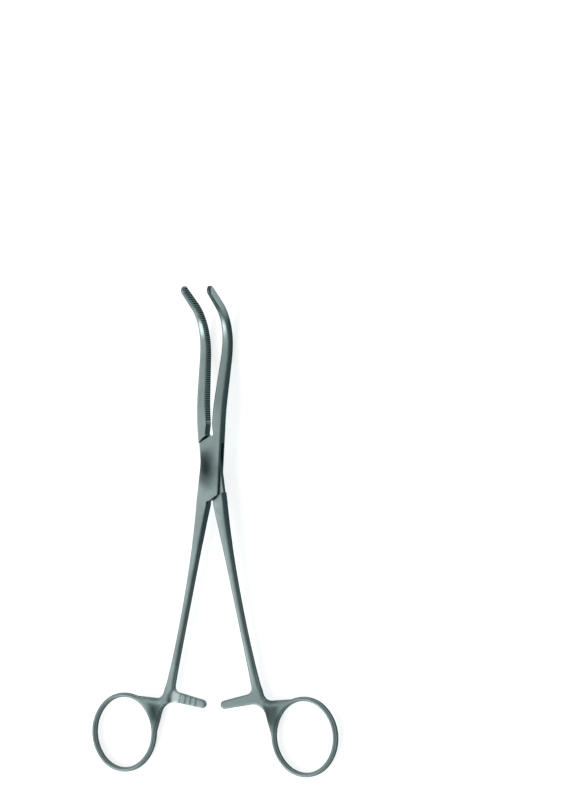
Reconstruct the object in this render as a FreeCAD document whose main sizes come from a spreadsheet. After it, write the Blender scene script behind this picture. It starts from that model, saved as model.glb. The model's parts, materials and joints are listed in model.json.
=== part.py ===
import FreeCAD, Part
import math
import os
import Sketcher

# Kidney clamp: a long ring-handled surgical clamp with a box lock, S-curved toothed jaws and a ratchet.
# Both halves are drawn closed, with the pivot at the origin, the tips towards +Y and the front towards +Z.
# The box half carries the right jaw and the left shank, and the tongue half is its mirror image
# apart from the lock and the ratchet. The last step opens the halves and lays the clamp on its back.

doc = FreeCAD.newDocument("KidneyClamp")
sheet = doc.addObject("Spreadsheet::Sheet", "Sizes")

# Driving sizes, in millimetres and degrees
drivingSizes = [
    ("openAngle", 4.0, "turn of each half at rest, away from closed"),
    ("boxThick", 5.5, "thickness of the box lock, front to back"),
    ("boxHalf", 5.05, "half the width of the box lock"),
    ("boxFlare", 0.2, "how much wider each side is at the lower end of the box"),
    ("lockReach", 12.9, "distance from the pivot to the slanted edges of the box walls"),
    ("lockSlant", 33.5, "angle of those edges across the clamp"),
    ("lockGap", 0.2, "gap between the halves at the slanted edges when closed"),
    ("tongueThick", 2.6, "thickness of the tongue inside the box"),
    ("slideGap", 0.06, "gap between the tongue and each box wall"),
    ("pinRadius", 2.0, "radius of the lock pin"),
    ("pinFit", 0.04, "running gap between pin and tongue, on the radius"),
    ("pinSeat", 0.005, "gap between pin and box walls, on the radius"),
    ("rivetRadius", 2.6, "radius of the riveted pin ends"),
    ("rivetDeep", 0.7, "depth of the riveted pin ends"),
    ("edgeRound", 0.8, "rounding of the long edges of lock and jaws"),
    ("jawGap", 0.1, "gap between the toothed faces when closed"),
    ("jawRootThick", 5.0, "thickness of a jaw where it leaves the lock"),
    ("jawTipThick", 1.75, "thickness of a jaw at its tip"),
    ("jawBackRadius", 1070, "radius of the long curve along the back of a jaw"),
    ("jawBend", 18.5, "where the jaw starts to bend, above the pivot"),
    ("jawSag", 12.6, "slope of the jaw towards the back"),
    ("jawSagRadius", 78, "radius of the bend into that slope"),
    ("jawSlope", 16.9, "length of the sloping stretch"),
    ("jawBulgeRadius", 32, "radius of the bend out of the slope"),
    ("jawHookRadius", 21.5, "radius of the hook at the tip"),
    ("jawHook", 56.0, "slope of the tip towards the front"),
    ("jawTipRun", 13.0, "length of the straight stretch at the tip"),
    ("jawWideLow", 5.1, "width of the jaw after the first bend"),
    ("jawWideMid", 4.7, "width of the jaw at its bulge"),
    ("jawWideTip", 4.1, "width of the jaw at its tip"),
    ("heelRadius", 1.0, "radius of the heel relief between the jaws"),
    ("heelUp", 16.3, "height of the heel relief above the pivot"),
    ("heelTop", 21.4, "height at which the relief closes"),
    ("toothStart", 22.6, "height of the first jaw tooth above the pivot"),
    ("toothPitch", 1.0, "pitch of the jaw teeth"),
    ("toothDeep", 0.35, "depth of the jaw teeth"),
    ("toothLand", 0.2, "flat crest of a jaw tooth"),
    ("toothRim", 0.35, "smooth rim beside the jaw teeth"),
    ("shankRoot", 17.5, "where the shank leaves the lock, below the pivot"),
    ("rootRun", 0.7, "short straight stretch of the lock's side above that, to meet the shank"),
    ("shankInner", 0.35, "distance of the shank root from the middle of the clamp"),
    ("rootWide", 5.7, "width of the shank at its root"),
    ("shankSplay", 5.9, "angle of the shank at its root, when closed"),
    ("shankBow", 1250, "radius of the outward curve of the shank"),
    ("neckAt", 27.0, "distance of the neck section below the pivot"),
    ("neckWide", 4.9, "width of the shank at the neck"),
    ("neckThick", 5.1, "thickness of the shank at the neck"),
    ("upperAt", 45.0, "distance of the upper section below the pivot"),
    ("upperWide", 3.8, "width of the shank at the upper section"),
    ("upperThick", 4.4, "thickness of the shank at the upper section"),
    ("waistAt", 72.0, "distance of the waist below the pivot"),
    ("waistWide", 3.2, "width of the shank at the waist"),
    ("waistThick", 3.9, "thickness of the shank at the waist"),
    ("shankEnd", 106.0, "distance of the lower end of the shank below the pivot"),
    ("endWide", 4.5, "width of the shank at its lower end"),
    ("endThick", 3.7, "thickness of the shank at its lower end"),
    ("shankRound", 1.15, "rounding of the shank's long edges"),
    ("ringOut", 38.5, "distance of the ring centre from the middle, when closed"),
    ("ringDown", 129.0, "distance of the ring centre below the pivot, when closed"),
    ("ringHoleHigh", 33.6, "length of the finger hole"),
    ("ringHoleWide", 29.6, "width of the finger hole"),
    ("ringEndRadius", 14.5, "radius of the ring's middle line at its two ends"),
    ("ringBand", 2.1, "width of the ring band"),
    ("ringThick", 3.9, "thickness of the ring band"),
    ("ringRound", 0.85, "rounding of the ring band"),
    ("webThick", 3.7, "thickness of the web between ring, shank and arm"),
    ("webUpper", 4.6, "radius between ring and shank"),
    ("webLower", 6.4, "radius between ring and ratchet arm"),
    ("armInner", 3.0, "radius between shank and ratchet arm"),
    ("webStart", 1.0, "where the web leaves the top of the ring, beside its centre"),
    ("webSink", 0.9, "how far the ends of the web lie inside the ring's band"),
    ("webDip", 1.15, "drop of the web's upper edge from the top of the ring to the shank"),
    ("webUp", 98.0, "distance below the pivot of the web's end inside the shank"),
    ("webCover", 1.7, "width of that end"),
    ("webFoot", 2.0, "how far below the ring's centre the web reaches"),
    ("dishDeep", 0.5, "depth of the dished web"),
    ("dishSlope", 48.0, "slope of the dish's sides"),
    ("dishTop", 3.0, "distance of the dish below the top of the ring"),
    ("dishHigh", 10.0, "length of the dish"),
    ("dishLeft", 5.2, "reach of the dish's top over the ring"),
    ("dishRight", 2.6, "reach of the dish's top away from the ring"),
    ("dishRim", 1.3, "reach of the dish at half its length"),
    ("dishEnd", 0.5, "reach of the dish at its lower end"),
    ("armTip", 1.5, "how far the centre of the arm's round end passes the middle, when closed"),
    ("armDown", 111.9, "distance of that centre below the pivot"),
    ("armDroop", 8.1, "slope of the ratchet arm"),
    ("armHalf", 2.0, "half the height of the arm at its tip"),
    ("armSpread", 2.4, "slope of the arm's edges to its middle line"),
    ("armRoot", 15.5, "length of the arm's upper edge"),
    ("armLowRoot", 19.5, "length of the arm's lower edge"),
    ("armGap", 0.1, "gap between the two ratchet arms, front to back"),
    ("rackDeep", 0.6, "depth of the ratchet teeth"),
    ("rackPitch", 2.8, "pitch of the ratchet teeth"),
    ("rackWide", 1.3, "width of a ratchet notch at the surface"),
    ("rackStart", 2.3, "distance of the first notch from the arm's end radius centre"),
    ("rackCount", 4, "number of ratchet notches"),
    ("rackSteep", 0.39, "how far the steep side of a notch leans"),
    ("rackFloor", 0.26, "width of the floor of a notch"),
    ("millAt", 15.6, "distance of the milled edge at the arm's root from the middle, when closed"),
    ("millRadius", 7.0, "radius of that edge"),
    ("cutSpare", 0.02, "how far a cut starts outside its face, or a joined piece inside it"),
    ("arcSpare", 1.0001, "what keeps a round end just short of a half circle"),
    ("millHalf", 4.6, "half the height of the milled flat"),
    ("millRise", 1.0, "height of its middle above the centre of the arm's end"),
]
for row, (alias, value, note) in enumerate(drivingSizes, 1):
    sheet.set("A%d" % row, note)
    sheet.set("B%d" % row, str(value))
    sheet.setAlias("B%d" % row, alias)
doc.recompute()


def size(text):
    """The number that an expression on the sheet gives."""
    value = sheet.evalExpression(sheetNames(text))
    return float(getattr(value, "Value", value))


def sheetNames(text):
    """An expression with each alias written as the document needs it."""
    words = []
    word = ""
    for letter in text + " ":
        if letter.isalnum():
            word += letter
            continue
        known = any(word == alias for alias, value, note in drivingSizes)
        words.append("Sizes." + word if known else word)
        words.append(letter)
        word = ""
    return "".join(words).strip()


def mirrored(text, side):
    return text if side > 0 else "-(" + text + ")"


def newSketch(body, name, role, offset=("0", "0", "0"), turn=None):
    """A sketch on one of the body's own planes, moved by three expressions and turned about an axis."""
    sketch = body.newObject("Sketcher::SketchObject", name)
    plane = [item for item in body.Origin.OriginFeatures if item.Role == role][0]
    sketch.AttachmentSupport = [(plane, "")]
    sketch.MapMode = "FlatFace"
    if turn:
        axis, angle = turn
        rotation = FreeCAD.Rotation(FreeCAD.Vector(*axis), size(angle))
        sketch.AttachmentOffset = FreeCAD.Placement(FreeCAD.Vector(), rotation)
        sketch.setExpression("AttachmentOffset.Rotation.Angle", sheetNames(angle))
    for letter, text in zip("xyz", offset):
        if text != "0":
            sketch.setExpression("AttachmentOffset.Base." + letter, sheetNames(text))
    doc.recompute()
    return sketch


def arcBetween(start, end, radius, centreLeft):
    """The shorter arc from start to end, with its centre on the left or the right of that way."""
    chord = end - start
    across = FreeCAD.Vector(-chord.y, chord.x, 0)
    across.normalize()
    rise = math.sqrt(max(radius * radius - chord.Length * chord.Length / 4, 0))
    centre = (start + end) * 0.5 + across * (rise if centreLeft else -rise)
    first, last = (start, end) if centreLeft else (end, start)
    angles = [math.atan2(point.y - centre.y, point.x - centre.x) for point in (first, last)]
    circle = Part.Circle(centre, FreeCAD.Vector(0, 0, 1), radius)
    return Part.ArcOfCircle(circle, angles[0], angles[1])


def closedOutline(sketch, corners, side=1):
    """Corners are (x, y) expressions, and (x, y, radius) starts an arc to the next corner.
    A positive radius has its centre on the left of the way, a negative one on the right."""
    first = sketch.GeometryCount
    points = []
    for corner in corners:
        points.append(FreeCAD.Vector(size(mirrored(corner[0], side)), size(corner[1]), 0))
    ends = []
    for index, corner in enumerate(corners):
        start = points[index]
        end = points[(index + 1) % len(points)]
        if len(corner) == 2:
            sketch.addGeometry(Part.LineSegment(start, end))
            ends.append((1, 2))
            continue
        centreLeft = (not corner[2].startswith("-")) == (side > 0)
        radius = corner[2].lstrip("-")
        sketch.addGeometry(arcBetween(start, end, size(radius), centreLeft))
        ends.append((1, 2) if centreLeft else (2, 1))
        fixed = sketch.addConstraint(Sketcher.Constraint("Radius", first + index, size(radius)))
        sketch.setExpression("Constraints[%d]" % fixed, sheetNames(radius))
    for index, corner in enumerate(corners):
        following = (index + 1) % len(corners)
        sketch.addConstraint(Sketcher.Constraint(
            "Coincident", first + index, ends[index][1], first + following, ends[following][0]))
        place = (first + index, ends[index][0])
        across = sketch.addConstraint(Sketcher.Constraint("DistanceX", -1, 1, *place, points[index].x))
        sketch.setExpression("Constraints[%d]" % across, sheetNames(mirrored(corner[0], side)))
        along = sketch.addConstraint(Sketcher.Constraint("DistanceY", -1, 1, *place, points[index].y))
        sketch.setExpression("Constraints[%d]" % along, sheetNames(corner[1]))


def circleOutline(sketch, x, y, radius, side=1):
    centre = FreeCAD.Vector(size(mirrored(x, side)), size(y), 0)
    circle = sketch.addGeometry(Part.Circle(centre, FreeCAD.Vector(0, 0, 1), size(radius)))
    fixed = sketch.addConstraint(Sketcher.Constraint("Radius", circle, size(radius)))
    sketch.setExpression("Constraints[%d]" % fixed, sheetNames(radius))
    across = sketch.addConstraint(Sketcher.Constraint("DistanceX", -1, 1, circle, 3, centre.x))
    sketch.setExpression("Constraints[%d]" % across, sheetNames(mirrored(x, side)))
    along = sketch.addConstraint(Sketcher.Constraint("DistanceY", -1, 1, circle, 3, centre.y))
    sketch.setExpression("Constraints[%d]" % along, sheetNames(y))


def newPad(body, name, sketch, length, both=True, reverse=False):
    pad = body.newObject("PartDesign::Pad", name)
    pad.Profile = sketch
    pad.Midplane = both
    pad.Reversed = reverse
    pad.setExpression("Length", sheetNames(length))
    doc.recompute()
    return pad


def newPocket(body, name, sketch, length=None, both=False, upwards=False):
    """A pocket goes down from its sketch, or up, or both ways, to a depth or through all."""
    pocket = body.newObject("PartDesign::Pocket", name)
    pocket.Profile = sketch
    pocket.Midplane = both
    pocket.Reversed = upwards
    if length:
        pocket.setExpression("Length", sheetNames(length))
    else:
        pocket.Type = "ThroughAll"
    doc.recompute()
    return pocket


def newFillet(body, name, base, radius, wanted):
    """Rounds the edges of the base whose middle point passes the test."""
    names = []
    for number, edge in enumerate(base.Shape.Edges, 1):
        middle = edge.valueAt((edge.FirstParameter + edge.LastParameter) / 2)
        if wanted(edge, middle):
            names.append("Edge%d" % number)
    fillet = body.newObject("PartDesign::Fillet", name)
    fillet.Base = (base, names)
    fillet.setExpression("Radius", sheetNames(radius))
    doc.recompute()
    return fillet


def lockLine(reach, x, upper, rising):
    """Height at x of a slanted edge of the lock, above or below the pivot, rising or falling to +X."""
    start = "(%s)" % reach if upper else "-(%s)" % reach
    slant = "+" if rising else "-"
    return "(%s %s (%s) * sin(lockSlant)) / cos(lockSlant)" % (start, slant, x)


def lockBlock(body, side):
    """The full-thickness block of the lock, from the heel of the jaw to the root of the shank.
    The tongue's own block ends lockGap short of the box half's roots."""
    reach = "lockReach" if side > 0 else "(lockReach - lockGap)"
    wide = "(boxHalf + boxFlare)"
    outer = "-(shankInner + rootWide)"
    sketch = newSketch(body, body.Name + "Block", "XY_Plane")
    closedOutline(sketch, [
        ("jawGap / 2", lockLine(reach, "jawGap / 2", True, True)),
        ("jawGap / 2", "jawBend"),
        ("jawRootThick", "jawBend"),
        ("boxHalf", "0"),
        (wide, lockLine(reach, wide, False, True)),
        ("-shankInner", lockLine(reach, "-shankInner", False, True)),
        ("-shankInner", "-shankRoot"),
        (outer, "-shankRoot"),
        (outer, "-shankRoot + rootRun"),
        ("-boxHalf", "0"),
        ("-boxHalf", lockLine(reach, "-boxHalf", True, True)),
    ], side)
    block = newPad(body, body.Name + "BlockPad", sketch, "boxThick")
    half = size("boxThick") / 2
    heel = size("jawBend")
    root = -size("shankRoot")

    def longEdge(edge, middle):
        """Long edges on the outer sides of the block, and all round the back of the jaw."""
        if edge.Length < 0.5 * size("rootRun") or abs(middle.x) < 0.5 * size("shankInner"):
            return False
        if middle.y > heel + 1e-6:
            return not isinstance(edge.Curve, Part.Line) and abs(middle.x) > size("jawGap") + 0.5
        ends = abs(middle.y - heel) < 1e-6 or abs(middle.y - root) < 1e-6
        start, end = edge.valueAt(edge.FirstParameter), edge.valueAt(edge.LastParameter)
        upright = abs(start.x - end.x) < 0.6 * abs(start.y - end.y)
        return abs(abs(middle.z) - half) < 1e-6 and upright and not ends

    newFillet(body, body.Name + "LongRound", block, "edgeRound", longEdge)


def shankMiddle(down):
    """Where the middle of the box half's shank lies, at a distance below the pivot."""
    run = "(%s - shankRoot)" % down
    return "-(shankInner + rootWide / 2 + %s * tan(shankSplay) + %s * %s / (2 * shankBow))" % (run, run, run)


def shank(body, side):
    """A tapered bar of rounded sections, from the lock to the ratchet arm."""
    stations = [("shankRoot", "rootWide", "boxThick", "edgeRound"),
                ("neckAt", "neckWide", "neckThick", "shankRound"),
                ("upperAt", "upperWide", "upperThick", "shankRound"),
                ("waistAt", "waistWide", "waistThick", "shankRound"),
                ("shankEnd", "endWide", "endThick", "shankRound")]
    sections = []
    for number, (down, wide, thick, corner) in enumerate(stations, 1):
        middle = shankMiddle(down)
        sketch = newSketch(body, "%sShank%d" % (body.Name, number), "XZ_Plane", ("0", "0", down))
        left = "(%s - %s / 2)" % (middle, wide)
        right = "(%s + %s / 2)" % (middle, wide)
        high = "%s / 2" % thick
        closedOutline(sketch, [
            (left + " + " + corner, "-" + high),
            (right + " - " + corner, "-" + high, corner),
            (right, "-" + high + " + " + corner),
            (right, high + " - " + corner, corner),
            (right + " - " + corner, high),
            (left + " + " + corner, high, corner),
            (left, high + " - " + corner),
            (left, "-" + high + " + " + corner, corner),
        ], side)
        sections.append(sketch)
    loft = body.newObject("PartDesign::AdditiveLoft", body.Name + "Shank")
    loft.Profile = sections[0]
    loft.Sections = sections[1:]
    loft.Ruled = False
    doc.recompute()


def ring(body, side):
    """The finger ring: an oval of four tangent arcs, with a rounded band."""
    sketch = newSketch(body, body.Name + "RingOval", "XY_Plane",
                       (mirrored("-ringOut", side), "-ringDown", "0"))
    long = "(ringHoleHigh / 2 + ringBand / 2)"
    short = "(ringHoleWide / 2 + ringBand / 2)"
    drop = "(%s - ringEndRadius)" % long
    flank = "((%s * %s + %s * %s - ringEndRadius * ringEndRadius) / (2 * (%s - ringEndRadius)))" % (
        drop, drop, short, short, short)
    lean = "atan(%s / (%s - %s))" % (drop, flank, short)
    for edge in ("ringBand / 2", "-ringBand / 2"):
        endRadius = "(ringEndRadius + %s)" % edge
        x = "(%s * cos(%s))" % (endRadius, lean)
        y = "(%s + %s * sin(%s))" % (drop, endRadius, lean)
        flankRadius = "(%s + %s)" % (flank, edge)
        closedOutline(sketch, [
            (x, y, endRadius),
            ("-" + x, y, flankRadius),
            ("-" + x, "-" + y, endRadius),
            (x, "-" + y, flankRadius),
        ])
    pad = newPad(body, body.Name + "RingPad", sketch, "ringThick")
    half = size("ringThick") / 2
    below = -size("ringDown") + size("ringHoleHigh")

    def ovalEdge(edge, middle):
        return abs(abs(middle.z) - half) < 1e-6 and middle.y < below

    newFillet(body, body.Name + "RingRound", pad, "ringRound", ovalEdge)


def webAndArm(body, side):
    """The web beside the ring and the ratchet arm that crosses to the other shank, as one flat blank."""
    name = body.Name
    ringTop = "(-ringDown + ringHoleHigh / 2 + ringBand)"
    ringSide = "(-ringOut + ringHoleWide / 2 + ringBand)"
    bandMiddle = "((ringHoleWide + ringHoleHigh) / 4 + ringBand / 2)"

    def onArm(along, across):
        """A point of the arm, from the centre of its round end, along it and across it."""
        return ("armTip + (%s) * cos(armDroop) + (%s) * sin(armDroop)" % (along, across),
                "-armDown - (%s) * sin(armDroop) + (%s) * cos(armDroop)" % (along, across))

    corner = "(-%s + webDip)" % ringTop
    upper = (shankMiddle(corner) + " - endWide / 2", "-" + corner)
    inner = onArm("-armRoot", "armHalf + armRoot * tan(armSpread)")
    lower = onArm("-armLowRoot", "-armHalf - armLowRoot * tan(armSpread)")
    sketch = newSketch(body, name + "Web", "XY_Plane")
    closedOutline(sketch, [
        ("-ringOut + webStart", ringTop + " - webSink"),
        upper,
        (shankMiddle("shankEnd") + " - endWide / 2 + cutSpare", "-shankEnd"),
        (shankMiddle("webUp") + " - webCover / 2", "-webUp"),
        (shankMiddle("webUp") + " + webCover / 2", "-webUp"),
        inner,
        onArm("0", "armHalf") + ("-(armHalf * arcSpare)",),
        onArm("0", "-armHalf"),
        lower,
        (ringSide + " - webSink", "-ringDown - webFoot"),
        (ringSide + " - ringBand / 2 - cutSpare", "-ringDown - webFoot", bandMiddle),
        ("-ringOut + webStart", ringTop + " - ringBand / 2 - cutSpare"),
    ], side)
    web = newPad(body, name + "WebPad", sketch, "webThick")
    for ending, (x, y), radius in (("Upper", upper, "webUpper"), ("Inner", inner, "armInner"),
                                   ("Lower", lower, "webLower")):
        place = FreeCAD.Vector(size(mirrored(x, side)), size(y), 0)

        def upright(edge, middle):
            return (middle - place).Length < 0.05

        web = newFillet(body, name + ending + "Corner", web, radius, upright)

    # The flat that the other arm slides over, milled with a round cutter
    sketch = newSketch(body, name + "MilledFlat", "XY_Plane", ("0", "0", mirrored("-armGap / 2", side)))
    edge = "(-millAt + millRadius - sqrt(millRadius * millRadius - millHalf * millHalf))"
    closedOutline(sketch, [
        (edge, "-armDown + millRise - millHalf"),
        ("armTip + 4 * armHalf", "-armDown + millRise - millHalf"),
        ("armTip + 4 * armHalf", "-armDown + millRise + millHalf"),
        (edge + " + armHalf", "-armDown + millRise + millHalf + armHalf"),
        (edge, "-armDown + millRise + millHalf", "millRadius"),
    ], side)
    newPocket(body, name + "MilledPocket", sketch, None, False, side > 0)

    # Ratchet notches, steep on the side of the tip
    turn = ((0, 1, 0), mirrored("-armDroop", side))
    sketch = newSketch(body, name + "Notch", "XZ_Plane",
                       (mirrored("armTip", side), mirrored("-armGap / 2", side), "armDown"), turn)
    deep = mirrored("-rackDeep", side)
    proud = mirrored("cutSpare", side)
    closedOutline(sketch, [
        ("-rackStart", proud),
        ("-rackStart - rackSteep", deep),
        ("-rackStart - rackSteep - rackFloor", deep),
        ("-rackStart - rackWide", proud),
    ], side)
    notch = newPocket(body, name + "NotchPocket", sketch, "3 * armHalf", True)
    pattern = body.newObject("PartDesign::LinearPattern", name + "Notches")
    pattern.Originals = [notch]
    pattern.Direction = (sketch, ["H_Axis"])
    pattern.Reversed = side > 0
    pattern.setExpression("Occurrences", sheetNames("rackCount"))
    pattern.setExpression("Length", sheetNames("rackPitch * (rackCount - 1)"))
    body.Tip = pattern
    doc.recompute()

    # The dished web, on the front and on the back
    sketch = newSketch(body, name + "Dish", "XY_Plane", ("0", "0", "webThick / 2"))
    closedOutline(sketch, [
        (ringSide + " - dishLeft", ringTop + " - dishTop"),
        (ringSide + " + dishRight", ringTop + " - dishTop"),
        (ringSide + " + dishRim", ringTop + " - dishTop - dishHigh / 2"),
        (ringSide + " + dishEnd", ringTop + " - dishTop - dishHigh", bandMiddle + " + ringBand / 2"),
    ], side)
    dish = newPocket(body, name + "DishPocket", sketch, "dishDeep")
    dish.setExpression("TaperAngle", sheetNames("-dishSlope"))
    both = body.newObject("PartDesign::Mirrored", name + "Dishes")
    both.Originals = [dish]
    both.MirrorPlane = ([item for item in body.Origin.OriginFeatures if item.Role == "XY_Plane"][0], [""])
    body.Tip = both
    doc.recompute()


def jaw(body, side):
    """The S-curved jaw, drawn from the side, then thinned along its back and rounded."""
    name = body.Name
    # Middle line of the jaw in the side view: bend back, slope, bend out, hook forward, straight tip
    bendEnd = ("(jawBend + jawSagRadius * sin(jawSag))", "(-jawSagRadius * (1 - cos(jawSag)))")
    slopeEnd = ("(%s + jawSlope * cos(jawSag))" % bendEnd[0], "(%s - jawSlope * sin(jawSag))" % bendEnd[1])
    bulge = ("(%s + jawBulgeRadius * sin(jawSag))" % slopeEnd[0],
             "(%s - jawBulgeRadius * (1 - cos(jawSag)))" % slopeEnd[1])
    hookEnd = ("(%s + jawHookRadius * sin(jawHook))" % bulge[0],
               "(%s + jawHookRadius * (1 - cos(jawHook)))" % bulge[1])
    tip = ("(%s + jawTipRun * cos(jawHook))" % hookEnd[0], "(%s + jawTipRun * sin(jawHook))" % hookEnd[1])

    def beside(point, slope, wide, sign):
        """A point half a width in front of the middle line or behind it."""
        return ("%s - (%s) * %s / 2 * sin(%s)" % (point[0], sign, wide, slope),
                "%s + (%s) * %s / 2 * cos(%s)" % (point[1], sign, wide, slope))

    def bandOutline(sketch, inset, startHeight):
        """The band's outline, drawn in by inset, from startHeight on the first bend to the tip."""
        wide = ["(%s - 2 * %s)" % (text, inset) for text in
                ("boxThick", "jawWideLow", "jawWideMid", "jawWideTip")]
        turned = "asin((%s - jawBend) / jawSagRadius)" % startHeight
        start = (startHeight, "(-jawSagRadius * (1 - cos(%s)))" % turned)
        closedOutline(sketch, [
            beside(start, "-" + turned, wide[0], "-1") + ("-(jawSagRadius - %s / 2)" % wide[0],),
            beside(bendEnd, "-jawSag", wide[1], "-1"),
            beside(slopeEnd, "-jawSag", wide[2], "-1") + ("(jawBulgeRadius + %s / 2)" % wide[2],),
            beside(bulge, "0", wide[2], "-1") + ("(jawHookRadius + (%s + %s) / 4)" % (wide[2], wide[3]),),
            beside(hookEnd, "jawHook", wide[3], "-1"),
            beside(tip, "jawHook", wide[3], "-1") + ("(%s / 2 * arcSpare)" % wide[3],),
            beside(tip, "jawHook", wide[3], "1"),
            beside(hookEnd, "jawHook", wide[3], "1") + ("-(jawHookRadius - (%s + %s) / 4)" % (wide[2], wide[3]),),
            beside(bulge, "0", wide[2], "1") + ("-(jawBulgeRadius - %s / 2)" % wide[2],),
            beside(slopeEnd, "-jawSag", wide[2], "1"),
            beside(bendEnd, "-jawSag", wide[1], "1") + ("(jawSagRadius + %s / 2)" % wide[1],),
            beside(start, "-" + turned, wide[0], "1"),
        ])

    sketch = newSketch(body, name + "Jaw", "YZ_Plane", ("0", "0", mirrored("jawGap / 2", side)))
    bandOutline(sketch, "0", "jawBend")
    newPad(body, name + "JawPad", sketch, "(jawRootThick - jawGap / 2)", False, side < 0)

    # The long curve of the jaw's back
    sketch = newSketch(body, name + "JawBack", "XY_Plane")
    top = "(%s + jawWideTip)" % tip[0]
    closedOutline(sketch, [
        ("jawRootThick", "jawBend", "jawBackRadius"),
        ("jawTipThick", top),
        ("2 * jawRootThick", top),
        ("2 * jawRootThick", "jawBend"),
    ], side)
    newPocket(body, name + "JawBackPocket", sketch, None, True)
    return bandOutline, tip, bulge


def heelRelief(body, side):
    """The teardrop at the foot of the jaws, half of it in each of them."""
    name = body.Name
    sketch = newSketch(body, name + "Heel", "XY_Plane")
    lean = "asin(heelRadius / (heelTop - heelUp))"
    closedOutline(sketch, [
        ("0", "heelTop"),
        ("-heelRadius * cos(%s)" % lean, "heelUp + heelRadius * sin(%s)" % lean, "heelRadius"),
        ("0", "heelUp - heelRadius", "heelRadius"),
        ("heelRadius * cos(%s)" % lean, "heelUp + heelRadius * sin(%s)" % lean),
    ], side)
    newPocket(body, name + "HeelPocket", sketch, None, True)


def jawTeeth(body, side, bandOutline, tip):
    """Straight ridges across the inner face of the jaw, closed by a thin smooth rim."""
    name = body.Name
    face = "jawGap / 2"
    sketch = newSketch(body, name + "Tooth", "XY_Plane")
    closedOutline(sketch, [
        (face + " - cutSpare", "toothStart"),
        (face + " - cutSpare", "toothStart + toothPitch - toothLand"),
        (face + " + toothDeep", "toothStart + (toothPitch - toothLand) / 2"),
    ], side)
    tooth = newPocket(body, name + "ToothPocket", sketch, None, True)
    pattern = body.newObject("PartDesign::LinearPattern", name + "Teeth")
    pattern.Originals = [tooth]
    pattern.Direction = (sketch, ["V_Axis"])
    count = "(floor((%s + toothPitch - toothStart) / toothPitch) + 1)" % tip[0]
    pattern.setExpression("Occurrences", sheetNames(count))
    pattern.setExpression("Length", sheetNames("toothPitch * (%s - 1)" % count))
    body.Tip = pattern
    doc.recompute()

    sketch = newSketch(body, name + "Rim", "YZ_Plane", ("0", "0", mirrored(face, side)))
    bandOutline(sketch, "0", "jawBend")
    bandOutline(sketch, "toothRim", "(toothStart - toothLand)")
    newPad(body, name + "RimPad", sketch, "toothDeep", False, side < 0)


def lockCheeks(body, side):
    """The slot through the box half, or the two cheeks taken off the tongue half."""
    name = body.Name
    far = "(2 * lockReach)"
    if side > 0:
        sketch = newSketch(body, name + "Slot", "XY_Plane")
        closedOutline(sketch, [
            ("-2 * boxHalf", lockLine("lockReach", "-2 * boxHalf", False, False)),
            ("2 * boxHalf", lockLine("lockReach", "2 * boxHalf", False, False)),
            ("2 * boxHalf", lockLine("lockReach", "2 * boxHalf", True, False)),
            ("-2 * boxHalf", lockLine("lockReach", "-2 * boxHalf", True, False)),
        ])
        slot = newPocket(body, name + "SlotPocket", sketch, "tongueThick + 2 * slideGap", True)
        sketch = newSketch(body, name + "Rivet", "XZ_Plane")
        half = "boxThick / 2"
        bore = "pinRadius + pinSeat"
        closedOutline(sketch, [
            ("0", "-(%s)" % half),
            ("rivetRadius + pinSeat", "-(%s)" % half),
            (bore, "-(%s) + rivetDeep" % half),
            (bore, half + " - rivetDeep"),
            ("rivetRadius + pinSeat", half),
            ("0", half),
        ])
        groove = body.newObject("PartDesign::Groove", name + "RivetGroove")
        groove.Profile = sketch
        groove.ReferenceAxis = (sketch, ["V_Axis"])
        groove.Angle = 360
        doc.recompute()
        return
    sketch = newSketch(body, name + "Cheek", "XY_Plane", ("0", "0", "tongueThick / 2"))
    reach = "(lockReach + lockGap)"
    closedOutline(sketch, [
        ("-2 * boxHalf", lockLine(reach, "-2 * boxHalf", False, True)),
        ("2 * boxHalf", lockLine(reach, "2 * boxHalf", False, True)),
        ("2 * boxHalf", lockLine(reach, "2 * boxHalf", True, True)),
        ("-2 * boxHalf", lockLine(reach, "-2 * boxHalf", True, True)),
    ])
    cheek = newPocket(body, name + "CheekPocket", sketch, None, False, True)
    both = body.newObject("PartDesign::Mirrored", name + "Cheeks")
    both.Originals = [cheek]
    both.MirrorPlane = ([item for item in body.Origin.OriginFeatures if item.Role == "XY_Plane"][0], [""])
    body.Tip = both
    doc.recompute()
    sketch = newSketch(body, name + "Bore", "XY_Plane")
    circleOutline(sketch, "0", "0", "pinRadius + pinFit")
    newPocket(body, name + "BorePocket", sketch, None, True)


def lockPin():
    """The riveted pin, ground flush with both faces of the box."""
    body = doc.addObject("PartDesign::Body", "LockPin")
    body.Label = "box_lock_pin"
    sketch = newSketch(body, "PinProfile", "XZ_Plane")
    half = "boxThick / 2"
    closedOutline(sketch, [
        ("0", "-(%s)" % half),
        ("rivetRadius", "-(%s)" % half),
        ("pinRadius", "-(%s) + rivetDeep" % half),
        ("pinRadius", half + " - rivetDeep"),
        ("rivetRadius", half),
        ("0", half),
    ])
    pin = body.newObject("PartDesign::Revolution", "PinTurned")
    pin.Profile = sketch
    pin.ReferenceAxis = (sketch, ["V_Axis"])
    pin.Angle = 360
    doc.recompute()
    return body


halves = []
for side, name, label in ((1, "BoxHalf", "box_half"), (-1, "TongueHalf", "tongue_half")):
    body = doc.addObject("PartDesign::Body", name)
    body.Label = label
    bandOutline, tip, bulge = jaw(body, side)
    lockBlock(body, side)
    ring(body, side)
    webAndArm(body, side)
    shank(body, side)
    lockCheeks(body, side)
    jawTeeth(body, side, bandOutline, tip)
    heelRelief(body, side)
    halves.append(body)
pinBody = lockPin()
pieces = halves + [pinBody]

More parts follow.
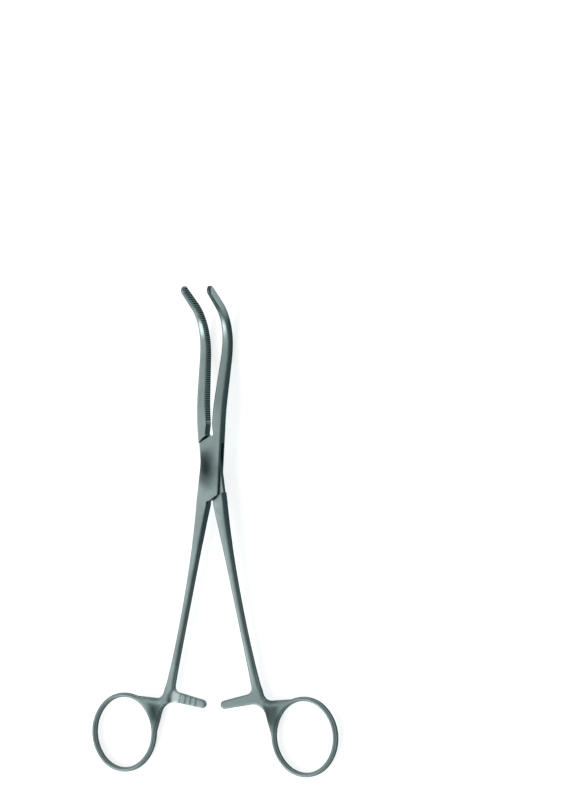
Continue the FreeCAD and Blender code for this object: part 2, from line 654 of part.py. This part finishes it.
for body in pieces:
    before = 0.0
    for item in body.Group:
        if "Invalid" in item.State or "Error" in item.State:
            raise RuntimeError("%s did not build" % item.Name)
        if not item.isDerivedFrom("PartDesign::Feature"):
            continue
        if item.Shape.isNull() or not item.Shape.isValid():
            raise RuntimeError("%s has no valid shape" % item.Name)
        cuts = item.TypeId in ("PartDesign::Pocket", "PartDesign::Groove")
        if cuts and item.Shape.Volume > before - 0.01:
            raise RuntimeError("%s removes nothing" % item.Name)
        print(item.Name, round(item.Shape.Volume - before, 2))
        before = item.Shape.Volume
    if len(body.Shape.Solids) != 1:
        raise RuntimeError("%s is not one solid" % body.Label)

# At rest the clamp is slightly open and lies on the far ends of its rings and the bulge of its jaws
opened = math.radians(size("openAngle"))
ringEnd = size("-ringDown - (ringHoleHigh / 2 + ringBand / 2 - ringEndRadius)")
ringTouchAlong = (size("ringOut") * math.sin(opened) + ringEnd * math.cos(opened)
                  - size("ringEndRadius + ringBand / 2 - ringRound"))
ringTouchUp = -size("ringThick / 2 - ringRound")
jawTouchAlong = size(bulge[0]) * math.cos(opened)
jawTouchUp = size(bulge[1] + " + jawBulgeRadius")
along = jawTouchAlong - ringTouchAlong
up = jawTouchUp - ringTouchUp
apart = size("jawBulgeRadius + jawWideMid / 2 - ringRound")
tilt = math.asin(apart / math.hypot(along, up)) - math.atan2(up, along)
lying = FreeCAD.Placement(FreeCAD.Vector(), FreeCAD.Rotation(FreeCAD.Vector(1, 0, 0), math.degrees(tilt)))
turns = [-size("openAngle"), size("openAngle"), -size("openAngle")]
for body, turn in zip(pieces, turns):
    opening = FreeCAD.Placement(FreeCAD.Vector(), FreeCAD.Rotation(FreeCAD.Vector(0, 0, 1), turn))
    body.Placement = lying.multiply(opening)
doc.recompute()
reach = FreeCAD.BoundBox()
for body in pieces:
    reach.add(body.Shape.optimalBoundingBox(False, False))
rest = FreeCAD.Vector(0, -(reach.YMin + reach.YMax) / 2, -reach.ZMin)
for body in pieces:
    body.Placement = FreeCAD.Placement(rest, FreeCAD.Rotation()).multiply(body.Placement)
doc.recompute()
print("tilt", math.degrees(tilt), "pivot at", pinBody.Placement.Base, "reach", reach)

os.makedirs("parts", exist_ok=True)
for body in pieces:
    body.Shape.exportStep("parts/%s.step" % body.Label)
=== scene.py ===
import json
import math
import bpy
from mathutils import Matrix, Vector


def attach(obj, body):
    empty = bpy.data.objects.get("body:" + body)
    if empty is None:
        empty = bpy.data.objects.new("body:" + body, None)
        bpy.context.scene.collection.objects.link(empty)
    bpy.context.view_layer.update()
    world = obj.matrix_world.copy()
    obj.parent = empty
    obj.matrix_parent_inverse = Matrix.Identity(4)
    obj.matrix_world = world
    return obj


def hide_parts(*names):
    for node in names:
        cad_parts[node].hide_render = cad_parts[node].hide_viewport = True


# Kidney clamp on a white floor: a long satin steel clamp with a box lock, S-curved jaws and a ratchet.
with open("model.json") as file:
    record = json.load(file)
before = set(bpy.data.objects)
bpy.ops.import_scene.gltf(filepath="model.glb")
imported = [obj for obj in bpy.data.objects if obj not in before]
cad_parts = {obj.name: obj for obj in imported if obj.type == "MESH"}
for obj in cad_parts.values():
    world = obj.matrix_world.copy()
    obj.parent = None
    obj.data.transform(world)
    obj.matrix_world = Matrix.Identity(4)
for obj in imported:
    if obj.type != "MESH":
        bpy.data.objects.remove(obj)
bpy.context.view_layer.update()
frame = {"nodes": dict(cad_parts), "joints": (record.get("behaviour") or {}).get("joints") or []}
scene = bpy.context.scene
scene.view_settings.view_transform = "Standard"

# The hinge gives the clamp's own directions: along it, out of its front, and to its right
hinge = frame["joints"][0]
pivot = Vector(hinge["pos_m"])
outward = Vector(hinge["axis"]).normalized()
rightward = Vector((1, 0, 0))
upward = outward.cross(rightward)
print("pivot", pivot, "outward", outward)


# Camera
cameraSet = {
    "turn": 25.0,  # degrees from straight above, towards the clamp's right side
    "roll": 0.46,  # degrees, so that the clamp leans a little in the picture
    "frameHigh": 0.3784,  # metres of the clamp's plane that fill the picture from bottom to top
    "lens": 200.0,  # millimetres
    "sensor": 36.0,  # millimetres
    "middleRight": 0.0356,  # metres from the pivot to the picture's middle
    "middleUp": 0.0322,
    "farEnd": 20,  # metres that the camera sees
}


def makeCamera():
    turn = math.radians(cameraSet["turn"])
    view = rightward * math.sin(turn) + outward * math.cos(turn)
    right = rightward * math.cos(turn) - outward * math.sin(turn)
    roll = Matrix.Rotation(math.radians(-cameraSet["roll"]), 3, view)
    up = roll @ upward
    right = roll @ right
    distance = cameraSet["frameHigh"] * cameraSet["lens"] / cameraSet["sensor"]
    target = pivot + right * cameraSet["middleRight"] + up * cameraSet["middleUp"]
    data = bpy.data.cameras.new("camera")
    data.sensor_fit = "VERTICAL"
    data.sensor_height = cameraSet["sensor"]
    data.lens = cameraSet["lens"]
    data.clip_end = cameraSet["farEnd"]
    camera = bpy.data.objects.new("camera", data)
    scene.collection.objects.link(camera)
    place = Matrix((right, up, view)).transposed().to_4x4()
    place.translation = target + view * distance
    camera.matrix_world = place
    scene.camera = camera


makeCamera()
print("camera made")


# Floor and light
lightSet = {
    "floorSize": 12,  # metres
    "floorColour": (0.90, 0.90, 0.90, 1),
    "floorRough": 0.9,
    "floorGloss": 0.1,
    "floorLift": 0.7,  # added where the floor is seen, so that it is white
    "worldBright": (1.0, 1.0, 1.0, 1),
    "worldDark": (0.24, 0.27, 0.27, 1),
    "worldStrength": 0.845,
    "worldMiddle": 0.5,  # brightness straight above, between dark at 0 and bright at 1
    "worldRight": -0.5,  # change of it towards the clamp's right
    "worldAlong": -0.3,  # change of it towards either end of the clamp
    "worldEnds": (0.15, 0.95),  # brightness at which it is all dark and all bright
    "keyPower": 7.5,  # watts
    "keyPlace": (-0.9, -0.95, 1.0),  # metres
    "keySize": 1.1,  # metres
}


def addMath(nodes, operation, first, second=None):
    # a Math node of two sockets or numbers
    node = nodes.new("ShaderNodeMath")
    node.operation = operation
    for place, value in enumerate((first, second)):
        if hasattr(value, "is_output"):
            nodes.id_data.links.new(value, node.inputs[place])
        elif value is not None:
            node.inputs[place].default_value = value
    return node.outputs[0]


def addRamp(nodes, value, stops):
    # a Color Ramp of (position, colour) stops
    node = nodes.new("ShaderNodeValToRGB")
    node.color_ramp.elements[0].position, node.color_ramp.elements[0].color = stops[0]
    node.color_ramp.elements[1].position, node.color_ramp.elements[1].color = stops[-1]
    for position, colour in stops[1:-1]:
        stop = node.color_ramp.elements.new(position)
        stop.color = colour
    nodes.id_data.links.new(value, node.inputs[0])
    return node.outputs[0]


def makeFloorWhite():
    # white where it is looked at, and only as bright as its colour where it lights the clamp
    white = bpy.data.materials.new("floorWhite")
    white.use_nodes = True
    nodes = white.node_tree.nodes
    base = nodes["Principled BSDF"]
    base.inputs["Base Color"].default_value = lightSet["floorColour"]
    base.inputs["Roughness"].default_value = lightSet["floorRough"]
    base.inputs["Specular IOR Level"].default_value = lightSet["floorGloss"]
    base.inputs["Emission Color"].default_value = (1, 1, 1, 1)
    path = nodes.new("ShaderNodeLightPath")
    seen = addMath(nodes, "MAXIMUM", path.outputs["Is Camera Ray"], path.outputs["Is Glossy Ray"])
    seen = addMath(nodes, "MAXIMUM", seen, path.outputs["Is Transmission Ray"])
    lift = addMath(nodes, "MULTIPLY", seen, lightSet["floorLift"])
    white.node_tree.links.new(lift, base.inputs["Emission Strength"])
    return white


def makeFloor():
    bpy.ops.object.select_all(action="DESELECT")
    bpy.ops.mesh.primitive_plane_add(size=lightSet["floorSize"], location=(0, 0, 0))
    floor = bpy.context.object
    floor.name = "floor"
    floor.data.materials.append(makeFloorWhite())


def makeStudio():
    # bright on the left, darker towards the clamp's ends, and dark on the right
    world = bpy.data.worlds.new("studio")
    world.use_nodes = True
    nodes = world.node_tree.nodes
    links = world.node_tree.links
    back = nodes["Background"]
    parts = nodes.new("ShaderNodeSeparateXYZ")
    links.new(nodes.new("ShaderNodeTexCoord").outputs["Generated"], parts.inputs[0])
    across = addMath(nodes, "MULTIPLY", parts.outputs["X"], lightSet["worldRight"])
    along = addMath(nodes, "ABSOLUTE", parts.outputs["Y"])
    along = addMath(nodes, "MULTIPLY", along, lightSet["worldAlong"])
    bright = addMath(nodes, "ADD", across, along)
    bright = addMath(nodes, "ADD", bright, lightSet["worldMiddle"])
    low, high = lightSet["worldEnds"]
    colour = addRamp(nodes, bright, [(low, lightSet["worldDark"]), (high, lightSet["worldBright"])])
    links.new(colour, back.inputs["Color"])
    back.inputs["Strength"].default_value = lightSet["worldStrength"]
    scene.world = world


def makeKeyLamp():
    data = bpy.data.lights.new("keyLamp", "AREA")
    data.energy = lightSet["keyPower"]
    data.shape = "DISK"
    data.size = lightSet["keySize"]
    lamp = bpy.data.objects.new("keyLamp", data)
    scene.collection.objects.link(lamp)
    lamp.location = lightSet["keyPlace"]
    lamp.rotation_euler = (pivot - lamp.location).to_track_quat("-Z", "Y").to_euler()


makeFloor()
makeStudio()
makeKeyLamp()
print("floor and light made")


# Satin steel
steelSet = {
    "face": (0.385, 0.485, 0.48, 1),  # ground flat faces
    "flank": (0.050, 0.072, 0.074, 1),  # sides, painted darker as shade
    "shankFlankShade": (0.080, 0.108, 0.108, 1),  # sides of the shanks towards the handles, a lighter painted shade
    "ringFace": (0.30, 0.385, 0.385, 1),  # rings and arms, dulled by the hand
    "ringFlankShade": (0.085, 0.115, 0.115, 1),  # walls of the rings, painted shade
    "crest": (0.22, 0.28, 0.28, 1),  # worn crests of the teeth, with a painted highlight
    "tipFaceShade": (0.10, 0.135, 0.135, 1),  # last stretch of the jaws, painted shade on its face
    # sides of the jaws' last stretch: painted highlight on this half
    "tipPaintedFlank": (0.27, 0.34, 0.34, 1),
    "edgeTint": (0.35, 0.45, 0.45, 1),  # of light that only grazes the steel
    # heights between which one finish and its painted light and shade go over into the next, in metres
    # from the clamp's middle
    "ringHeights": (-0.080, -0.064),  # rings and arms below, shanks above
    "shankHeights": (-0.045, 0.0),  # shanks below, lock above
    "sharpHeights": (0.044, 0.048),  # above, the toothed sides keep sharp corners
    "toothHeights": (0.050, 0.052),  # teeth above
    "tipHeights": (0.099, 0.106),  # tips of the jaws above
    # how far a surface is turned, between 0 and 1, where it goes over from face to side
    "flankTurn": (0.5, 0.86),  # turned sideways
    "wallTurn": (0.50, 0.15),  # turned upwards, on the rings
    "grooveTurn": (0.3, 0.6),  # turned to the other jaw, all but the outer sides
    "crestTurn": (0.90, 0.98),  # turned to the other jaw, the crests alone
    "sharpTurn": (0.1, 0.3),  # turned to the other jaw, for the sharp corners
    "cloud": 0.10,  # share of slow light and dark change
    "cloudScale": 90,  # per metre
    "cloudRange": (0.3, 0.7),  # of the noise that makes the clouds
    "roughLow": 0.30,
    "roughHigh": 0.42,
    "ringRough": 0.14,  # added on the rings and arms
    "waveScale": 55,  # per metre
    "waveDepth": 0.00025,  # metres
    "brushScale": (2500, 60, 2500),  # per metre, far less along the clamp than across it
    "brushDepth": 0.000004,  # metres
    "creviceReach": 0.0012,  # metres over which corners and grooves darken with painted shade
    "creviceRange": (0.25, 0.9),  # open share around, where they are darkest and where they end
    "creviceShade": 0.40,  # share of the colour left where they are darkest
    "softEdge": 0.0014,  # metres over which the worn corners are seen to round off
    "softHardly": 0.01,  # share of it left on the toothed sides
    "softAlong": [(-0.024, 1.0), (-0.009, 0.02), (0.048, 0.02), (0.060, 1.0)],  # share of it by height
    "softReach": (-0.12, 0.12),  # heights that softAlong has to cover
    "raySamples": 8,  # for the soft corners and the crevices
    "spotRagged": 0.5,  # how much the clouds move the rim of a spot
}
# Soft spots of painted reflection, highlight, shade and shadow, put in place after the photo and fixed
# to the clamp: the share of their size that is even, how much they cover there, and how metallic they
# leave the steel. At most one spot of a half is less than metallic.
# painted reflection: a dark blotch on the lock's face
lockReflectionSpot = {"middle": (-0.0022, 0.0300), "size": (0.0120, 0.0230), "degrees": 0,
            "colour": (0.022, 0.034, 0.036, 1), "even": 0.20, "share": 0.95, "metal": 1.0}
# painted highlight: the milled flat at the arm's root, bright and less metallic
milledHighlightSpot = {"middle": (-0.0203, -0.0785), "size": (0.0058, 0.0062), "degrees": 0,
              "colour": (0.72, 0.84, 0.84, 1), "even": 0.45, "share": 1.0, "metal": 0.6}
# painted highlight along the arm
armHighlightSpot = {"middle": (-0.0120, -0.0806), "size": (0.0110, 0.0050), "degrees": -10,
           "colour": (0.40, 0.50, 0.50, 1), "even": 0.45, "share": 0.9, "metal": 1.0}
# painted shade in the dish of each web
webShadeSpot = {"middle": (-0.0308, -0.0865), "size": (0.0078, 0.0130), "degrees": 0,
           "colour": (0.09, 0.125, 0.125, 1), "even": 0.45, "share": 0.95, "metal": 1.0}
rightWebShadeSpot = {**webShadeSpot, "middle": (-webShadeSpot["middle"][0], webShadeSpot["middle"][1])}
# painted shadow along the shoulders of the lock
lowShoulderShadowSpot = {"middle": (0.0023, 0.01535), "size": (0.0072, 0.0021), "degrees": 34,
                   "colour": (0.012, 0.02, 0.02, 1), "even": 0.45, "share": 1.0, "metal": 1.0}
highShoulderShadowSpot = {**lowShoulderShadowSpot,
                    "middle": (-0.0025, 0.04385), "size": (0.0057, 0.0014), "degrees": 36}
# The values of each half: toothSide is the side of its jaw that has the teeth, -1 left and 1 right
boxSteelSet = {**steelSet, "spots": [lockReflectionSpot, armHighlightSpot, milledHighlightSpot, webShadeSpot], "toothSide": -1}
tongueSteelSet = {
    **steelSet,
    "spots": [rightWebShadeSpot, lowShoulderShadowSpot, highShoulderShadowSpot],
    "toothSide": 1,
    "creviceReach": 0.0005,
    # on this half the jaw's last stretch has a lighter painted shade on its face and painted shade on
    # its sides
    "tipFaceShade": (0.24, 0.31, 0.31, 1),
    "tipPaintedFlank": (0.06, 0.08, 0.08, 1),
}


def addMix(nodes, blend, share, first, second):
    # a colour Mix of two sockets, or of a socket and a colour
    mix = nodes.new("ShaderNodeMix")
    mix.data_type = "RGBA"
    mix.blend_type = blend
    for place, value in ((0, share), (6, first), (7, second)):
        if hasattr(value, "is_output"):
            nodes.id_data.links.new(value, mix.inputs[place])
        else:
            mix.inputs[place].default_value = value
    return mix.outputs[2]


def addRange(nodes, value, reach, toLow, toHigh):
    # goes from toLow to toHigh while the value crosses the reach
    node = nodes.new("ShaderNodeMapRange")
    node.inputs["From Min"].default_value = reach[0]
    node.inputs["From Max"].default_value = reach[1]
    node.inputs["To Min"].default_value = toLow
    node.inputs["To Max"].default_value = toHigh
    nodes.id_data.links.new(value, node.inputs["Value"])
    return node.outputs[0]


def addSteps(nodes, value, reach, stops):
    # a number that follows (place, amount) stops, for places within the reach
    low, high = reach
    along = [((place - low) / (high - low), (amount, amount, amount, 1)) for place, amount in stops]
    return addRamp(nodes, addRange(nodes, value, reach, 0, 1), along)


def addNoise(nodes, where, scale, detail):
    noise = nodes.new("ShaderNodeTexNoise")
    noise.inputs["Scale"].default_value = scale
    noise.inputs["Detail"].default_value = detail
    nodes.id_data.links.new(where, noise.inputs["Vector"])
    return noise.outputs["Fac"]


def addBump(nodes, height, depth, normal):
    bump = nodes.new("ShaderNodeBump")
    bump.inputs["Distance"].default_value = depth
    nodes.id_data.links.new(height, bump.inputs["Height"])
    nodes.id_data.links.new(normal, bump.inputs["Normal"])
    return bump.outputs[0]


def addParts(nodes, vector):
    # the X, Y and Z of a vector socket
    parts = nodes.new("ShaderNodeSeparateXYZ")
    nodes.id_data.links.new(vector, parts.inputs[0])
    return parts.outputs


def addWornNormal(nodes, normal, height, settings):
    # corners are seen worn soft, except in the lock and on the toothed sides of the jaws
    toothed = addMath(nodes, "MULTIPLY", addParts(nodes, normal)["X"], settings["toothSide"])
    jaw = addRange(nodes, height, settings["sharpHeights"], 0, 1)
    toothed = addMath(nodes, "MULTIPLY", toothed, jaw)
    worn = addSteps(nodes, height, settings["softReach"], settings["softAlong"])
    kept = addRange(nodes, toothed, settings["sharpTurn"], 1, settings["softHardly"])
    worn = addMath(nodes, "MULTIPLY", worn, kept)
    soft = nodes.new("ShaderNodeBevel")
    soft.samples = settings["raySamples"]
    radius = addMath(nodes, "MULTIPLY", worn, settings["softEdge"])
    nodes.id_data.links.new(radius, soft.inputs["Radius"])
    return soft.outputs[0]


def addPaintedLightByFacing(nodes, normal, height, settings):
    # painted light and shade by facing: flat faces keep the ground steel's tone, and what faces sideways
    # is painted darker as shade
    turned = nodes.new("ShaderNodeVectorTransform")
    turned.vector_type = "NORMAL"
    turned.convert_from = "WORLD"
    turned.convert_to = "OBJECT"
    nodes.id_data.links.new(normal, turned.inputs[0])
    parts = addParts(nodes, turned.outputs[0])
    ring = addRange(nodes, height, settings["ringHeights"], 1, 0)
    shank = addRange(nodes, height, settings["shankHeights"], 1, 0)
    tip = addRange(nodes, height, settings["tipHeights"], 0, 1)
    face = addMix(nodes, "MIX", ring, settings["face"], settings["ringFace"])
    face = addMix(nodes, "MIX", tip, face, settings["tipFaceShade"])
    flank = addMix(nodes, "MIX", shank, settings["flank"], settings["shankFlankShade"])
    flank = addMix(nodes, "MIX", ring, flank, settings["ringFlankShade"])
    flank = addMix(nodes, "MIX", tip, flank, settings["tipPaintedFlank"])

    # the teeth take the painted side shade down to the bottom of their grooves, and their worn crests a
    # painted highlight
    jaw = addRange(nodes, height, settings["toothHeights"], 0, 1)
    inward = addMath(nodes, "MULTIPLY", parts["X"], settings["toothSide"])
    groove = addMath(nodes, "MULTIPLY", addRange(nodes, inward, settings["grooveTurn"], 0, 1), jaw)
    crest = addMath(nodes, "MULTIPLY", addRange(nodes, inward, settings["crestTurn"], 0, 1), jaw)

    # a ring's wall, painted in shade, is all that doesn't face up, whichever way round the ring it faces
    sideways = addRange(nodes, addMath(nodes, "ABSOLUTE", parts["X"]), settings["flankTurn"], 0, 1)
    wall = addRange(nodes, addMath(nodes, "ABSOLUTE", parts["Z"]), settings["wallTurn"], 0, 1)
    side = addMath(nodes, "MAXIMUM", sideways, groove)
    side = addMix(nodes, "MIX", ring, side, wall)
    colour = addMix(nodes, "MIX", side, face, flank)
    return addMix(nodes, "MIX", crest, colour, settings["crest"])


def addClouds(nodes, colour, cloud, settings):
    light = 1 + settings["cloud"]
    dark = 1 - settings["cloud"]
    low, high = settings["cloudRange"]
    tint = addRamp(nodes, cloud, [(low, (dark, dark, dark, 1)), (high, (light, light, light, 1))])
    return addMix(nodes, "MULTIPLY", 1, colour, tint)


def addSpotShare(nodes, where, cloud, spot, ragged):
    # how much of a spot is seen at a place, less and less towards its ragged rim
    near = nodes.new("ShaderNodeMapping")
    near.vector_type = "TEXTURE"
    near.inputs["Location"].default_value = (*spot["middle"], 0)
    near.inputs["Rotation"].default_value = (0, 0, math.radians(spot["degrees"]))
    near.inputs["Scale"].default_value = (*spot["size"], 1)
    nodes.id_data.links.new(where, near.inputs["Vector"])
    length = nodes.new("ShaderNodeVectorMath")
    length.operation = "LENGTH"
    nodes.id_data.links.new(near.outputs[0], length.inputs[0])
    away = addMath(nodes, "ADD", length.outputs["Value"], addMath(nodes, "MULTIPLY", cloud, ragged))
    share = spot["share"]
    there = addRamp(nodes, away, [(spot["even"], (share, share, share, 1)), (1.0, (0, 0, 0, 1))])
    there.node.color_ramp.interpolation = "EASE"
    return there


def addCreviceShade(nodes, colour, settings):
    # painted shade: ambient occlusion darkens the colour in corners and grooves
    crevice = nodes.new("ShaderNodeAmbientOcclusion")
    crevice.samples = settings["raySamples"]
    crevice.inputs["Distance"].default_value = settings["creviceReach"]
    dark = settings["creviceShade"]
    low, high = settings["creviceRange"]
    shade = addRamp(nodes, crevice.outputs["AO"], [(low, (dark, dark, dark, 1)), (high, (1, 1, 1, 1))])
    return addMix(nodes, "MULTIPLY", 1, colour, shade)


def addPolish(nodes, where, normal, settings):
    # slow waves of hand grinding, and fine lines of the polishing wheel
    waves = addNoise(nodes, where, settings["waveScale"], 1)
    normal = addBump(nodes, waves, settings["waveDepth"], normal)
    stretch = nodes.new("ShaderNodeMapping")
    stretch.inputs["Scale"].default_value = settings["brushScale"]
    nodes.id_data.links.new(where, stretch.inputs["Vector"])
    lines = addNoise(nodes, stretch.outputs[0], 1, 2)
    return addBump(nodes, lines, settings["brushDepth"], normal)


def makeSteel(name, settings):
    steel = bpy.data.materials.new(name)
    steel.use_nodes = True
    nodes = steel.node_tree.nodes
    links = steel.node_tree.links
    base = nodes["Principled BSDF"]
    base.inputs["Metallic"].default_value = 1.0
    base.inputs["Specular Tint"].default_value = settings["edgeTint"]
    coordinates = nodes.new("ShaderNodeTexCoord").outputs
    where = coordinates["Object"]
    height = addParts(nodes, where)["Y"]
    cloud = addNoise(nodes, where, settings["cloudScale"], 3)

    normal = addWornNormal(nodes, coordinates["Normal"], height, settings)
    colour = addPaintedLightByFacing(nodes, normal, height, settings)
    colour = addClouds(nodes, colour, cloud, settings)
    # spots of painted reflection, highlight, shade and shadow, fixed to the clamp
    for spot in settings["spots"]:
        there = addSpotShare(nodes, where, cloud, spot, settings["spotRagged"])
        colour = addMix(nodes, "MIX", there, colour, spot["colour"])
        if spot["metal"] < 1:
            links.new(addRange(nodes, there, (0, 1), 1, spot["metal"]), base.inputs["Metallic"])
    links.new(addCreviceShade(nodes, colour, settings), base.inputs["Base Color"])

    rough = addRange(nodes, cloud, settings["cloudRange"], settings["roughLow"], settings["roughHigh"])
    ring = addRange(nodes, height, settings["ringHeights"], 1, 0)
    rough = addMath(nodes, "ADD", rough, addMath(nodes, "MULTIPLY", ring, settings["ringRough"]))
    links.new(rough, base.inputs["Roughness"])
    links.new(addPolish(nodes, where, normal, settings), base.inputs["Normal"])
    return steel


boxSteel = makeSteel("boxSteel", boxSteelSet)
tongueSteel = makeSteel("tongueSteel", tongueSteelSet)
for name, steel in (("box_half", boxSteel), ("tongue_half", tongueSteel), ("box_lock_pin", boxSteel)):
    for slot in frame["nodes"][name].material_slots:
        slot.material = steel
print("steel made")


# The handles are forged and polished, so their corners are round and the webs run softly into the rings.
# Below "top" a smoothed copy of each half takes the place of its CAD node, and above it a plain copy.
handleSet = {
    "top": -0.006,  # height at which the polished handle goes over into the ground shank
    "lap": 0.0005,  # how far it runs on inside the shank
    "merge": 0.000001,  # corners of the CAD's mesh that lie closer than this are one
    "faceAngle": 30,  # degrees up to which the upper parts are shaded smooth
    "voxel": 0.00024,  # grain of the remeshed handle
    "smoothShare": 0.6,
    "smoothSteps": 12,
    "ringFrom": 0.0255,  # distance from the middle from which ring and web are smoothed more
    "ringFade": 0.002,  # over which that grows
    "ringSteps": 40,
}


def copyNode(name, newName):
    # a merged copy of a CAD node, selected alone
    piece = bpy.data.objects.new(newName, frame["nodes"][name].data.copy())
    scene.collection.objects.link(piece)
    bpy.ops.object.select_all(action="DESELECT")
    piece.select_set(True)
    bpy.context.view_layer.objects.active = piece
    bpy.ops.object.mode_set(mode="EDIT")
    bpy.ops.mesh.select_all(action="SELECT")
    bpy.ops.mesh.remove_doubles(threshold=handleSet["merge"])
    bpy.ops.object.mode_set(mode="OBJECT")
    return piece


def cutPiece(height, keepUpper):
    # cuts the selected piece across and closes the cut
    bpy.ops.object.mode_set(mode="EDIT")
    bpy.ops.mesh.select_all(action="SELECT")
    bpy.ops.mesh.bisect(plane_co=(0, height, 0), plane_no=(0, 1, 0), use_fill=True,
                        clear_inner=keepUpper, clear_outer=not keepUpper)
    bpy.ops.object.mode_set(mode="OBJECT")


def smoothPiece(piece, steps, group):
    # an empty group smooths the whole piece
    smooth = piece.modifiers.new("smooth", "SMOOTH")
    smooth.factor = handleSet["smoothShare"]
    smooth.iterations = steps
    smooth.vertex_group = group
    bpy.ops.object.modifier_apply(modifier="smooth")


def placePiece(piece, half):
    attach(piece, half)
    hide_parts(half)
    print(piece.name, "faces", len(piece.data.polygons))


def makeLockAndJaw(half):
    upper = copyNode(half, half + "_lock_and_jaw")
    cutPiece(handleSet["top"], True)
    bpy.ops.mesh.customdata_custom_splitnormals_clear()
    bpy.ops.object.shade_smooth_by_angle(angle=math.radians(handleSet["faceAngle"]))
    placePiece(upper, half)


def makeHandle(half):
    handle = copyNode(half, half + "_handle")
    cutPiece(handleSet["top"] + handleSet["lap"], False)
    remesh = handle.modifiers.new("remesh", "REMESH")
    remesh.mode = "VOXEL"
    remesh.voxel_size = handleSet["voxel"]
    bpy.ops.object.modifier_apply(modifier="remesh")
    outer = handle.vertex_groups.new(name="ringAndWeb")
    for corner in handle.data.vertices:
        share = (abs(corner.co.x) - handleSet["ringFrom"]) / handleSet["ringFade"]
        if share > 0:
            outer.add([corner.index], min(share, 1), "REPLACE")
    smoothPiece(handle, handleSet["smoothSteps"], "")
    smoothPiece(handle, handleSet["ringSteps"], "ringAndWeb")
    bpy.ops.object.shade_smooth()
    placePiece(handle, half)


for half in ("box_half", "tongue_half"):
    makeLockAndJaw(half)
    makeHandle(half)
print("handles made")
